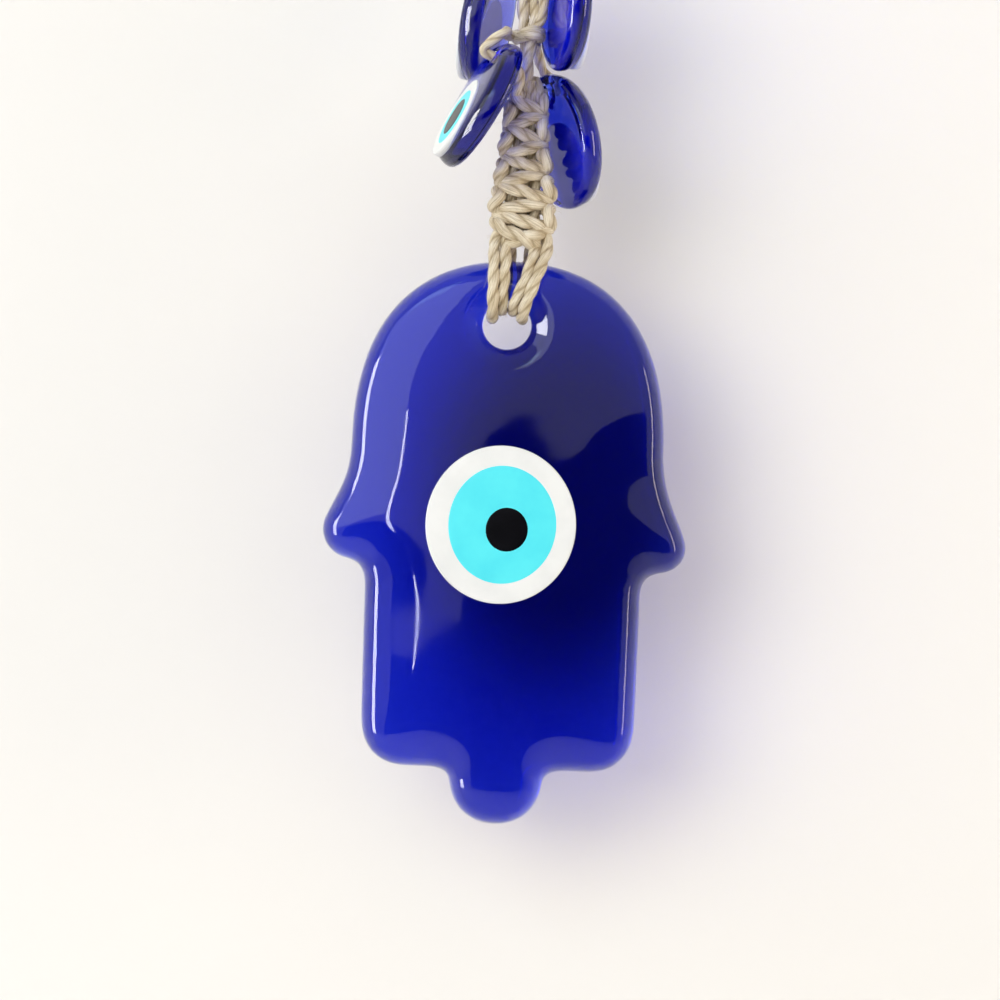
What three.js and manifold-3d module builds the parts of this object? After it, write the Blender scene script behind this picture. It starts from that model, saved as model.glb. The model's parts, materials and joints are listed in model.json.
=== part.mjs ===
// Evil eye wall hanging: a cobalt glass hand amulet on a knotted hemp string with four small eye beads.
// Millimetres, +Z up. The face looks along -Y and +X is to the right.
// The origin is where the nail touches the inside of the hanging loop.
import * as THREE from "three";
import { mergeVertices } from "three/addons/utils/BufferGeometryUtils.js";
import Module from "manifold-3d";

const wasm = await Module();
wasm.setup();

// Heights, all measured down from the nail
const TOP_KNOT_Z = -40.5;
const UPPER_KNOT_Z = -47.2;
const NECK_KNOT_Z = -67;
const SENNIT_Z = -82;
const HAND_TOP_Z = -112;

// The hand amulet
const HAND_HEIGHT = 110;
const HAND_THICK = 8.6;
const HAND_RIM = 2.6; // how far the rounded rim reaches in thickness
const HAND_RIM_INSET = 2.2;
const THUMB_SKEW = 0.9; // the left thumb sits this much higher than the middle, the right one lower
const HOLE_RADIUS = 4.5;
const HOLE_DOWN = 12.6;
const HOLE_X = -1;
const FUNNEL_WIDTH = 3.6; // the funnel in front of the hole
const FUNNEL_DEEP = 3;
const FUNNEL_LIP = 1.3;
const BACK_FALL = 2.6; // degrees
const BACK_FALL_DOWN = 19; // the back is flat from here down
const EYE_DOWN = 51.5;
const EYE_X = -0.8;

// Opaque eye layers, shared by the hand and the beads
const LAYER_GAP = 0.3;
const LAYER_THICK = 0.7;

// The small eye beads
const BEAD_RADIUS = 13.4;
const BEAD_THICK = 5;
const BEAD_HOLE_RADIUS = 1.8;
const BEAD_HOLE_UP = 9.6;
const BEAD_EYE_DOWN = 4.2;

// The cord
const STRAND_RADIUS = 0.95;
const STRAND_SIDES = 8;
const STRING_X = 1.2; // the string hangs this far to the right of the hand's middle line
const CORE_Y = 1.2;
const FILLER_X = 2.3;
const SENNIT_KNOTS = 9;
const KNOT_PITCH = 2.8;
const SENNIT_HALF_TOP = 3.9;
const SENNIT_HALF_FOOT = 5.8;
const NAIL_BEND = 5.6;

const COBALT = { color: 0x1420a8, roughness: 0.08, metalness: 0 };
const OPAL_WHITE = { color: 0xf1f2f0, roughness: 0.35, metalness: 0 };
const TURQUOISE = { color: 0x5fe6f2, roughness: 0.35, metalness: 0 };
const BLACK_GLASS = { color: 0x0b0b10, roughness: 0.3, metalness: 0 };
const HEMP = { color: 0xc9b68d, roughness: 0.95, metalness: 0 };

const vec = (x, y, z) => new THREE.Vector3(x, y, z);
const degrees = THREE.MathUtils.degToRad;

function makeMesh(name, geometry, finish) {
  const mesh = new THREE.Mesh(geometry, new THREE.MeshStandardMaterial(finish));
  mesh.name = name;
  return mesh;
}

// The block that cuts the falling part of the hand's back, larger than the hand on every side
const FALL_BLOCK = vec(90, 10, 40);

// Cutting one closed geometry out of another
function toManifold(geometry) {
  const bare = geometry.clone();
  bare.deleteAttribute("normal");
  bare.deleteAttribute("uv");
  const merged = mergeVertices(bare, 1e-4);
  return new wasm.Manifold(
    new wasm.Mesh({
      numProp: 3,
      vertProperties: new Float32Array(merged.attributes.position.array),
      triVerts: new Uint32Array(merged.index.array),
    }),
  );
}

function cutOut(body, ...tools) {
  const cut = (solid, tool) => solid.subtract(toManifold(tool));
  const result = tools.reduce(cut, toManifold(body)).getMesh();
  const geometry = new THREE.BufferGeometry();
  geometry.setAttribute("position", new THREE.BufferAttribute(result.vertProperties, 3));
  geometry.setIndex(new THREE.BufferAttribute(result.triVerts, 1));
  return geometry;
}

// Turned shapes: the profile is [radius, height] pairs from the axis back to the axis, and the
// axis is laid along -Y, so that height is how far a point stands out towards the viewer.
function turned(profile, segments) {
  const points = profile.map(([radius, height]) => new THREE.Vector2(radius, height));
  return new THREE.LatheGeometry(points, segments).rotateX(degrees(180));
}

function disc(radius, low, high, segments) {
  return turned([[0, low], [radius, low], [radius, high], [0, high]], segments);
}

// A flat ring closes on itself, so its profile never meets the axis.
function flatRing(inner, outer, low, high, segments) {
  return turned([[inner, low], [outer, low], [outer, high], [inner, high], [inner, low]], segments);
}

function eyeLayers(prefix, sizes, faceY, segments) {
  const low = faceY + LAYER_GAP;
  const high = low + LAYER_THICK;
  const turquoiseOuter = sizes.turquoise - LAYER_GAP;
  const pupilOuter = sizes.pupil - LAYER_GAP;
  return [
    makeMesh(`${prefix}_white`, flatRing(sizes.turquoise, sizes.white, low, high, segments), OPAL_WHITE),
    makeMesh(`${prefix}_turquoise`, flatRing(sizes.pupil, turquoiseOuter, low, high, segments), TURQUOISE),
    makeMesh(`${prefix}_pupil`, disc(pupilOuter, low, high, segments), BLACK_GLASS),
  ];
}

// A strand of cord along a smooth curve through the given points
function strand(points, steps) {
  const section = new THREE.Shape();
  for (let side = 0; side < STRAND_SIDES; side += 1) {
    const angle = (side / STRAND_SIDES) * 2 * Math.PI;
    const x = STRAND_RADIUS * Math.cos(angle);
    const y = STRAND_RADIUS * Math.sin(angle);
    if (side === 0) section.moveTo(x, y);
    else section.lineTo(x, y);
  }
  section.closePath();
  const route = new THREE.CatmullRomCurve3(points, false, "centripetal");
  return new THREE.ExtrudeGeometry(section, { steps, extrudePath: route });
}

// A half knot pulled tight is a ring of cord round the core strands.
function cordRing(halfWidth, halfDepth, cordRadius) {
  const sections = 6;
  const segments = 16;
  const profile = [];
  for (let i = 0; i <= sections; i += 1) {
    const angle = (i / sections) * 2 * Math.PI;
    const radius = halfWidth - cordRadius + cordRadius * Math.cos(angle);
    profile.push(new THREE.Vector2(radius, cordRadius * Math.sin(angle)));
  }
  const ring = new THREE.LatheGeometry(profile, segments).rotateX(degrees(90));
  return ring.scale(1, halfDepth / halfWidth, 1);
}

const ornament = new THREE.Group();

// The hand: fingers down, two thumbs, a straight-sided block of fingers and a longer middle finger.
// Each curve is [control 1, control 2, end] from the top of the arch to the tip, right half only.
const HALF_OUTLINE = [
  [[17, 0], [30.5, -10], [30.5, -36]], // arch of the wrist
  [[30.5, -44], [33.4, -47.5], [35.2, -52.4]], // flare of the thumb
  [[36.3, -55.4], [34.4, -58.8], [31, -59.4]], // thumb tip
  [[28.4, -59.9], [27, -61], [26.9, -64.5]], // notch under the thumb
  [[26.9, -73], [26.8, -82], [26.7, -89.5]], // side of the fingers
  [[26.6, -95.8], [23.4, -99.2], [17.5, -99.2]], // outer corner
  [[12.5, -99.2], [9.6, -98.8], [9, -102]], // fillet to the middle finger
  [[8.3, -107], [4.8, -HAND_HEIGHT], [0, -HAND_HEIGHT]], // rounded tip
];

function skewThumb(point) {
  const reach = Math.max(0, 1 - Math.abs(point.y + 53) / 14);
  return new THREE.Vector2(point.x, point.y - (THUMB_SKEW * reach * point.x) / 35);
}

function handOutline() {
  const half = new THREE.Path();
  half.moveTo(0, 0);
  for (const [first, second, end] of HALF_OUTLINE) half.bezierCurveTo(...first, ...second, ...end);
  const right = half.getPoints(6);
  const left = right.slice(1, -1).reverse().map((point) => new THREE.Vector2(-point.x, point.y));
  return new THREE.Shape([...right, ...left].map(skewThumb));
}

function handGlass() {
  const depth = HAND_THICK - 2 * HAND_RIM;
  const blank = new THREE.ExtrudeGeometry(handOutline(), {
    depth,
    bevelEnabled: true,
    bevelThickness: HAND_RIM,
    bevelSize: HAND_RIM_INSET,
    bevelOffset: -HAND_RIM_INSET,
    bevelSegments: 3,
  });
  blank.translate(0, 0, -depth / 2).rotateX(degrees(90));
  const front = HAND_THICK / 2;
  const clear = front + 2; // the drill starts and ends this far out
  const pierced = turned(
    [
      [0, -clear],
      [HOLE_RADIUS + 1, -clear],
      [HOLE_RADIUS + 1, -front],
      [HOLE_RADIUS, 1.2 - front],
      [HOLE_RADIUS, front - FUNNEL_DEEP],
      [HOLE_RADIUS + 1, front - FUNNEL_LIP],
      [HOLE_RADIUS + FUNNEL_WIDTH, front],
      [HOLE_RADIUS + FUNNEL_WIDTH, clear],
      [0, clear],
    ],
    28,
  );
  // Behind the hole the back falls away, which leaves room for the cords when the hand lies flat.
  const block = new THREE.BoxGeometry(FALL_BLOCK.x, FALL_BLOCK.y, FALL_BLOCK.z);
  const fall = block.translate(0, FALL_BLOCK.y / 2, FALL_BLOCK.z / 2).rotateX(degrees(BACK_FALL));
  fall.translate(0, front, -BACK_FALL_DOWN);
  return cutOut(blank, pierced.translate(HOLE_X, 0, -HOLE_DOWN), fall);
}

const hand = new THREE.Group();
hand.position.z = HAND_TOP_Z;
hand.add(makeMesh("hamsa_glass", handGlass(), COBALT));
const handEye = new THREE.Group();
handEye.position.set(EYE_X, 0, -EYE_DOWN);
handEye.add(...eyeLayers("hamsa_eye", { white: 15, turquoise: 11, pupil: 4.5 }, HAND_THICK / 2, 40));
hand.add(handEye);
ornament.add(hand);

// The beads: turn is the heading of the face from straight ahead towards the right, lean is how far
// the face looks up.
const BEADS = [
  { name: "bead_upper_left", centre: vec(-7.3, 9.5, -63.8), turn: -103.7, lean: 10 },
  { name: "bead_upper_right", centre: vec(8.45, -4, -61.7), turn: 103.5, lean: 0 },
  { name: "bead_lower_left", centre: vec(-8.2, -8.6, -82.2), turn: -76.5, lean: 27 },
  { name: "bead_lower_right", centre: vec(8.8, 3.5, -88), turn: 116.3, lean: 13.5 },
];

function beadGlass() {
  const back = -BEAD_THICK / 2;
  const front = BEAD_THICK / 2;
  const blank = turned(
    [
      [0, back],
      [BEAD_RADIUS - 1.8, back],
      [BEAD_RADIUS - 0.5, back + 0.7],
      [BEAD_RADIUS, back + 2],
      [BEAD_RADIUS, front - 2],
      [BEAD_RADIUS - 0.5, front - 0.8],
      [BEAD_RADIUS - 2, front],
      [0, front],
    ],
    32,
  );
  const drill = disc(BEAD_HOLE_RADIUS, back - 1, front + 1, 12);
  return cutOut(blank, drill.translate(0, 0, BEAD_HOLE_UP));
}

for (const bead of BEADS) {
  const group = new THREE.Group();
  group.position.copy(bead.centre);
  group.rotation.set(-degrees(bead.lean), 0, degrees(bead.turn), "ZXY");
  group.add(makeMesh(`${bead.name}_glass`, beadGlass(), COBALT));
  const eye = new THREE.Group();
  eye.position.z = -BEAD_EYE_DOWN;
  eye.add(...eyeLayers(bead.name, { white: 8.3, turquoise: 6, pupil: 3.8 }, BEAD_THICK / 2, 24));
  group.add(eye);
  group.updateMatrix();
  bead.at = (right, out, up) => vec(right, -out, up).applyMatrix4(group.matrix);
  ornament.add(group);
}

// Each bead strand leaves the knots above its bead, goes over the rim, in at the face, out at the
// back and down to the knots below.
const STRAND_OUT = BEAD_THICK / 2 + STRAND_RADIUS + 0.5;
const STRAND_RIM = BEAD_RADIUS + STRAND_RADIUS + 0.5;
const BEAD_STRANDS = [
  { bead: 0, rim: [-0.5, 1.5], top: vec(-3.1, 2.4, -46.6), foot: vec(-1.2, 2.2, -64.6) },
  { bead: 1, rim: [0.5, 1.5], top: vec(5.5, -1.4, -46.4), foot: vec(3.6, -1.2, -64.6) },
  { bead: 2, rim: [0.5, 2], top: vec(-3.1, -2.4, -68.4), foot: vec(-0.6, -3.4, -79.6) },
  { bead: 3, rim: [6.6, 1.9], top: vec(2.4, 5.6, -68.5), foot: vec(2.6, 3.4, -79.6) },
];

for (const { bead, rim, top, foot } of BEAD_STRANDS) {
  const { name, at } = BEADS[bead];
  const [across, out] = rim;
  const overRim = at(across, out, Math.sqrt(STRAND_RIM ** 2 - across ** 2));
  const face = at(0, STRAND_OUT, BEAD_HOLE_UP);
  const back = at(0, -STRAND_OUT, BEAD_HOLE_UP);
  const route = [top, overRim, face, at(0, 0, BEAD_HOLE_UP), back, foot];
  ornament.add(makeMesh(name.replace("bead", "bead_strand"), strand(route, 22), HEMP));
}

// The core strands run down the whole string. The lower, wider part has four more beside them.
const CORE_TOP_Z = -45.7;
const CORE_FOOT_Z = -106.2;
const FILLER_TOP_Z = -97.4;
const SIDES = [["front", -CORE_Y], ["back", CORE_Y]];
const FLANKS = [["left", STRING_X - FILLER_X], ["right", STRING_X + FILLER_X]];
for (const [side, y] of SIDES) {
  const line = [vec(STRING_X, y, CORE_TOP_Z), vec(STRING_X, y, CORE_FOOT_Z)];
  ornament.add(makeMesh(`core_${side}`, strand(line, 20), HEMP));
  for (const [flank, x] of FLANKS) {
    const filler = [vec(x, y, FILLER_TOP_Z), vec(x, y, CORE_FOOT_Z)];
    ornament.add(makeMesh(`filler_${side}_${flank}`, strand(filler, 3), HEMP));
  }
}

// The sennit of half knots widens towards its foot as the extra strands come in.
const SENNIT_HALF_DEPTH = CORE_Y + 3 * STRAND_RADIUS + 2 * LAYER_GAP;
for (let i = 0; i < SENNIT_KNOTS; i += 1) {
  const share = THREE.MathUtils.smoothstep(i, 1, 7);
  const halfWidth = THREE.MathUtils.lerp(SENNIT_HALF_TOP, SENNIT_HALF_FOOT, share);
  const ring = cordRing(halfWidth, SENNIT_HALF_DEPTH, STRAND_RADIUS);
  const knot = makeMesh(`knot_${String(i + 1).padStart(2, "0")}`, ring, HEMP);
  knot.position.set(STRING_X, 0, SENNIT_Z - i * KNOT_PITCH);
  ornament.add(knot);
}

// Two pairs of tighter half knots hold the ends of the bead strands.
const NECK_CORD_RADIUS = 0.8;
const NECK_HALF_WIDTH = 3.2;
const NECK_HALF_DEPTH = 4.2;
const NECK_KNOT_PITCH = 2.1;
for (const [name, z] of [["upper_knot", UPPER_KNOT_Z], ["neck_knot", NECK_KNOT_Z]]) {
  for (const [i, level] of ["a", "b"].entries()) {
    const ring = cordRing(NECK_HALF_WIDTH, NECK_HALF_DEPTH, NECK_CORD_RADIUS);
    const knot = makeMesh(`${name}_${level}`, ring, HEMP);
    knot.position.set(STRING_X, 0, z - i * NECK_KNOT_PITCH);
    ornament.add(knot);
  }
}

// The overhand knot under the hanging loop
const TOP_KNOT_HALF = vec(3.9, 3.4, 3.4);
const topKnot = makeMesh("top_knot", new THREE.SphereGeometry(1, 20, 12), HEMP);
topKnot.geometry.scale(...TOP_KNOT_HALF);
topKnot.position.set(STRING_X, 0, TOP_KNOT_Z);
ornament.add(topKnot);

// The hanging loop goes up from the knot, round the nail and back.
const NAIL_Z = STRAND_RADIUS + 0.1 - NAIL_BEND;
const NAIL_SHOULDER = NAIL_BEND * Math.SQRT1_2;
const LEG_SPREAD = 1.5; // half the distance between the loop's two legs where they enter the knot
const loopRoute = [
  vec(STRING_X - LEG_SPREAD, 0, -36.6),
  vec(-1.6, 0, -30),
  vec(-3.4, 0, -20),
  vec(-5, 0, -11),
  vec(-NAIL_BEND, 0, NAIL_Z),
  vec(-NAIL_SHOULDER, 0, NAIL_Z + NAIL_SHOULDER),
  vec(0, 0, NAIL_Z + NAIL_BEND),
  vec(NAIL_SHOULDER, 0, NAIL_Z + NAIL_SHOULDER),
  vec(NAIL_BEND, 0, NAIL_Z),
  vec(5.2, 0, -11),
  vec(4.4, 0, -20),
  vec(3.3, 0, -30),
  vec(STRING_X + LEG_SPREAD, 0, -36.6),
];
ornament.add(makeMesh("hanging_loop", strand(loopRoute, 36), HEMP));

// Four cords go over the glass and through the hole of the hand: down in front, up behind.
const HOLE_Z = HAND_TOP_Z - HOLE_DOWN;
const CORD_RING = HOLE_RADIUS - STRAND_RADIUS - LAYER_GAP;
const LEG_TOP_Z = -108.5;
const MOUNT_CORDS = [
  { angle: -63, frontX: -3.9, backX: -2.9, proud: 0.9 },
  { angle: -21, frontX: -1.6, backX: -0.6, proud: 0 },
  { angle: 21, frontX: 4.1, backX: 3.1, proud: 0 },
  { angle: 63, frontX: 6.4, backX: 5.4, proud: 0.9 },
];

function legRoute(side, topX, holeX, holeZ, proud) {
  const between = (share) => THREE.MathUtils.lerp(topX, holeX, share);
  return [
    vec(topX, side * 1.9, LEG_TOP_Z), // inside the foot of the sennit
    vec(between(0.2), side * 4.7, LEG_TOP_Z - 3.9), // over the top edge of the glass
    vec(between(0.55), side * (5.7 + 0.7 * proud), LEG_TOP_Z - 8.2),
    vec(between(0.9), side * (5.5 + proud), holeZ + 1.9), // at the mouth of the hole
    vec(holeX, side * 3.6, holeZ + 0.1),
  ];
}

MOUNT_CORDS.forEach(({ angle, frontX, backX, proud }, i) => {
  const x = HOLE_X + CORD_RING * Math.sin(degrees(angle));
  const z = HOLE_Z + CORD_RING * Math.cos(degrees(angle));
  const front = legRoute(-1, frontX, x, z, proud);
  const back = legRoute(1, backX, x, z, proud).reverse();
  ornament.add(makeMesh(`mount_cord_${i + 1}`, strand([...front, vec(x, 0, z), ...back], 34), HEMP));
});

export default ornament;
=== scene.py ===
"""A cobalt glass hand amulet on a knotted hemp string with four eye beads, hung from a nail.

Metres, +Z up, the face looks along -Y. Sizes that a maker would read in millimetres are written
as a number of MM.
"""

import json
import math
import random

import bmesh
import bpy
import numpy as np
from mathutils import Matrix, Vector, geometry


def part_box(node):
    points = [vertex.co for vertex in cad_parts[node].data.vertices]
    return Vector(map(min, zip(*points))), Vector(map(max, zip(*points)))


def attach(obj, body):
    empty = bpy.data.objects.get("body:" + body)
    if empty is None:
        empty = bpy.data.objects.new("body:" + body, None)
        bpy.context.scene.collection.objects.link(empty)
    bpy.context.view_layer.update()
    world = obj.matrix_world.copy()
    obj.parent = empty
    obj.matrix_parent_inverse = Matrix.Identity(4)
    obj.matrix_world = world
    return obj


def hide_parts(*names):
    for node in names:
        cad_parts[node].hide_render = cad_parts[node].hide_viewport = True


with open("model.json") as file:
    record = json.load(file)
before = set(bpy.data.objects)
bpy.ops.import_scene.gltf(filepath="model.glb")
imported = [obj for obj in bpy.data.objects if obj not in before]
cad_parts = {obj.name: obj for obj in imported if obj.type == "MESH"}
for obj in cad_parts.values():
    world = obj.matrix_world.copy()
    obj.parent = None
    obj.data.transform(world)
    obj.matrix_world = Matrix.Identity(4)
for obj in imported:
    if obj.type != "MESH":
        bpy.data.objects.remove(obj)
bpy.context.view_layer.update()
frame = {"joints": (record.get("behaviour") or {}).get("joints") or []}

MM = 0.001
joints = {joint["name"]: joint for joint in frame["joints"]}

# ---------------------------------------------------------------------------------------------
# Camera: a long lens looks straight at the hand from the front, tipped a little so that the
# string hangs slightly to the right of upright. The top of the string is above the view.
# ---------------------------------------------------------------------------------------------
VIEW_WIDTH = 195 * MM
VIEW_CENTRE = Vector((-1.1, 0, -158.7)) * MM
CAMERA_DISTANCE = 0.95
SENSOR = 36
CAMERA_ROLL = math.radians(2.1)

camera_data = bpy.data.cameras.new("camera")
camera_data.sensor_width = SENSOR
camera_data.lens = SENSOR * CAMERA_DISTANCE / VIEW_WIDTH
camera_data.clip_start = 0.05
camera = bpy.data.objects.new("camera", camera_data)
camera.location = VIEW_CENTRE + Vector((0, -CAMERA_DISTANCE, 0))
camera.rotation_euler = (math.pi / 2, -CAMERA_ROLL, 0)
bpy.context.scene.collection.objects.link(camera)
bpy.context.scene.camera = camera
bpy.context.scene.view_settings.view_transform = "Standard"

# ---------------------------------------------------------------------------------------------
# Hemp cord: natural two-ply hemp twine, loosely spun. The plies wind round each other and stray
# fibres stand out. Every cord of the string is this one, so its finish and its twist come first.
# ---------------------------------------------------------------------------------------------
CORD_DIAMETER = 2.4 * MM
CORD_RADIUS = CORD_DIAMETER / 2
TWIST_LENGTH = 8.5 * MM
PLY_GROOVE = 0.3
CORD_SIDES = 22
CORD_STEP = 0.32 * MM
FIBRE_RADIUS = 0.02 * MM
FIBRE_LENGTH = 2 * MM
FIBRES_PER_AREA = 2.2e5  # on a square metre of cord


def node(tree, kind, **settings):
    """A new node with its settings."""
    made = tree.nodes.new(kind)
    for key, value in settings.items():
        setattr(made, key, value)
    return made


def ramp_colours(ramp, stops):
    elements = ramp.color_ramp.elements
    while len(elements) < len(stops):
        elements.new(0.5)
    for element, (place, colour) in zip(elements, stops):
        element.position = place
        element.color = (*colour, 1)


def hemp_material():
    """Straw-coloured fibre in fine streaks along the twist, with painted shade darkening it down in
    the grooves.
    """
    material = bpy.data.materials.new("hemp_cord")
    material.use_nodes = True
    tree = material.node_tree
    shader = tree.nodes["Principled BSDF"]
    shader.inputs["Roughness"].default_value = 0.82
    shader.inputs["Specular IOR Level"].default_value = 0.25
    shader.inputs["Sheen Weight"].default_value = 0.18
    shader.inputs["Sheen Roughness"].default_value = 0.5

    lay = node(tree, "ShaderNodeAttribute", attribute_name="lay")
    stretch = node(tree, "ShaderNodeMapping")
    stretch.inputs["Scale"].default_value = (0.32, 3.2, 3.2)
    streaks = node(tree, "ShaderNodeTexNoise")
    streaks.inputs["Scale"].default_value = 1.7
    streaks.inputs["Detail"].default_value = 5
    streaks.inputs["Roughness"].default_value = 0.62
    tint = node(tree, "ShaderNodeValToRGB")
    ramp_colours(
        tint,
        [
            (0.24, (0.3, 0.23, 0.14)),
            (0.42, (0.68, 0.585, 0.435)),
            (0.55, (0.85, 0.765, 0.605)),
            (0.74, (0.96, 0.91, 0.78)),
        ],
    )
    patch_place = node(tree, "ShaderNodeTexCoord")
    patches = node(tree, "ShaderNodeTexNoise")
    patches.inputs["Scale"].default_value = 260
    patches.inputs["Detail"].default_value = 2
    patch_tint = node(tree, "ShaderNodeValToRGB")
    ramp_colours(patch_tint, [(0.32, (0.78, 0.73, 0.64)), (0.66, (1.0, 1.0, 1.0))])
    mixed = node(tree, "ShaderNodeMix", data_type="RGBA", blend_type="MULTIPLY")
    mixed.inputs["Factor"].default_value = 1
    # Painted shade: the colour darkens down in the grooves between the plies.
    depth = node(tree, "ShaderNodeAttribute", attribute_name="groove")
    painted_groove_shade = node(tree, "ShaderNodeValToRGB")
    ramp_colours(painted_groove_shade, [(0.0, (1, 1, 1)), (0.55, (0.86, 0.82, 0.75)), (1.0, (0.36, 0.29, 0.2))])
    groove_shaded = node(tree, "ShaderNodeMix", data_type="RGBA", blend_type="MULTIPLY")
    groove_shaded.inputs["Factor"].default_value = 1
    bump = node(tree, "ShaderNodeBump")
    bump.inputs["Strength"].default_value = 0.55
    bump.inputs["Distance"].default_value = 0.12 * MM

    link = tree.links.new
    link(lay.outputs["Vector"], stretch.inputs["Vector"])
    link(stretch.outputs["Vector"], streaks.inputs["Vector"])
    link(streaks.outputs["Fac"], tint.inputs["Fac"])
    link(patch_place.outputs["Object"], patches.inputs["Vector"])
    link(patches.outputs["Fac"], patch_tint.inputs["Fac"])
    link(tint.outputs["Color"], mixed.inputs["A"])
    link(patch_tint.outputs["Color"], mixed.inputs["B"])
    link(depth.outputs["Fac"], painted_groove_shade.inputs["Fac"])
    link(mixed.outputs["Result"], groove_shaded.inputs["A"])
    link(painted_groove_shade.outputs["Color"], groove_shaded.inputs["B"])
    link(groove_shaded.outputs["Result"], shader.inputs["Base Color"])
    link(streaks.outputs["Fac"], bump.inputs["Height"])
    link(bump.outputs["Normal"], shader.inputs["Normal"])
    return material


def fibre_material():
    """The loose fibres are paler than the cord, because light passes through them."""
    material = bpy.data.materials.new("hemp_fibre")
    material.use_nodes = True
    tree = material.node_tree
    shader = tree.nodes["Principled BSDF"]
    shader.inputs["Roughness"].default_value = 0.6
    place = node(tree, "ShaderNodeTexCoord")
    blotches = node(tree, "ShaderNodeTexNoise")
    blotches.inputs["Scale"].default_value = 400
    tint = node(tree, "ShaderNodeValToRGB")
    ramp_colours(tint, [(0.35, (0.6, 0.5, 0.33)), (0.65, (0.88, 0.82, 0.68))])
    tree.links.new(place.outputs["Object"], blotches.inputs["Vector"])
    tree.links.new(blotches.outputs["Fac"], tint.inputs["Fac"])
    tree.links.new(tint.outputs["Color"], shader.inputs["Base Color"])
    return material


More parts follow.
